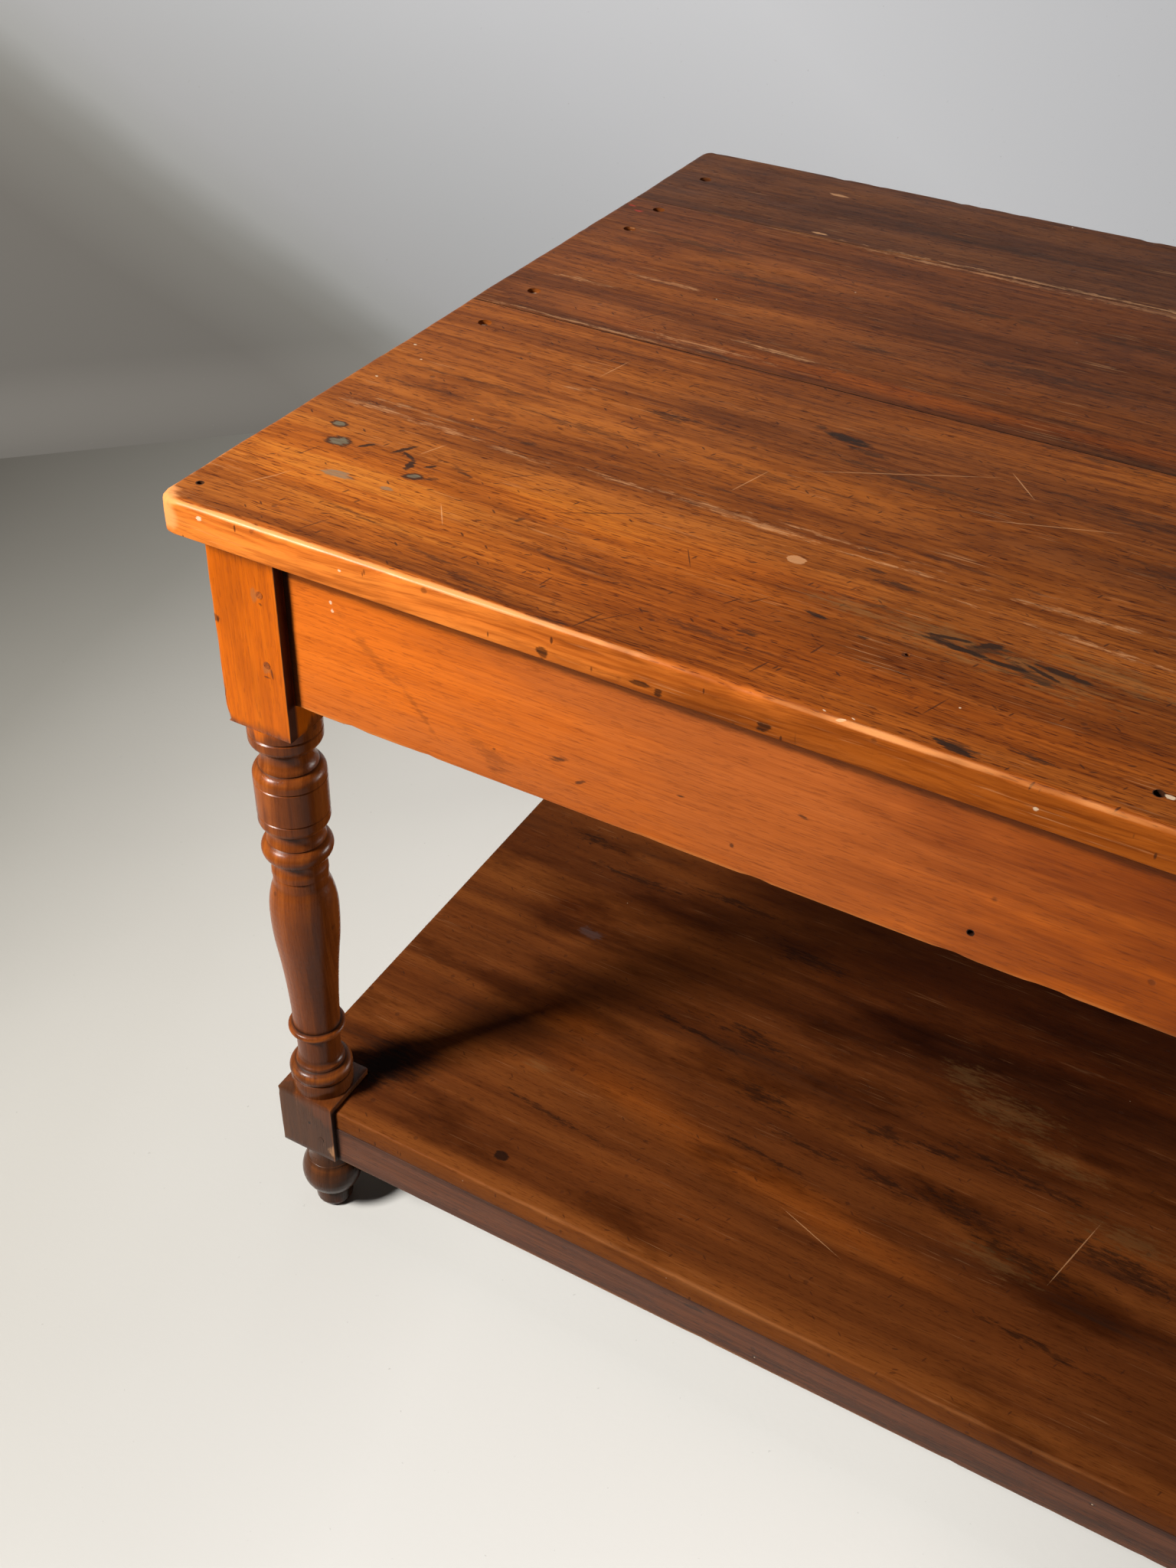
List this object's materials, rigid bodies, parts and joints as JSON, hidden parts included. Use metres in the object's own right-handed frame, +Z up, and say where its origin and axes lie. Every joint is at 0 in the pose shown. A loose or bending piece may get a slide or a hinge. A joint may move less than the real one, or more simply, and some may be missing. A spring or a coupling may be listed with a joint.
{
  "type": "drapers table",
  "caption": "Long wooden drapers table with a boarded top, deep pegged apron, turned legs and a full boarded shelf on lower rails above turned feet.",
  "frame": {"origin": "on the floor, under the middle of the top", "axes": "+X along the length of the top, +Y from the front long side to the back, +Z up"},
  "size_m": [2.13, 0.932, 0.85],
  "materials": {
    "top_wood": "waxed, worn and scratched",
    "leg_wood": "polished, dark in the turnings",
    "apron_wood": "waxed",
    "rail_wood": "dark stain, worn",
    "shelf_wood": "dark stain, waxed and scuffed",
    "bearer_wood": "bare, aged",
    "peg_wood": "end grain, waxed",
    "screw_steel": "dull, darkened",
    "putty": "dry filler"
  },
  "bodies": {
    "root": {"leg_front_left": "leg_wood", "leg_front_right": "leg_wood", "leg_back_left": "leg_wood", "leg_back_right": "leg_wood", "apron_front": "apron_wood", "apron_back": "apron_wood", "apron_left": "apron_wood", "apron_right": "apron_wood", "lower_rail_front": "rail_wood", "lower_rail_back": "rail_wood", "lower_rail_left": "rail_wood", "lower_rail_right": "rail_wood", "top_bearer_left": "bearer_wood", "shelf_bearer_left": "bearer_wood", "top_bearer_right": "bearer_wood", "shelf_bearer_right": "bearer_wood", "top_front_board": "top_wood", "top_middle_board": "top_wood", "top_back_board": "top_wood", "shelf_front_board": "shelf_wood", "shelf_middle_board": "shelf_wood", "shelf_back_board": "shelf_wood", "apron_pegs": "peg_wood", "rail_pegs": "peg_wood", "top_screws": "screw_steel", "screw_putty": "putty", "glue_blocks": "bearer_wood", "shelf_glue_blocks": "bearer_wood"}
  },
  "joints": []
}
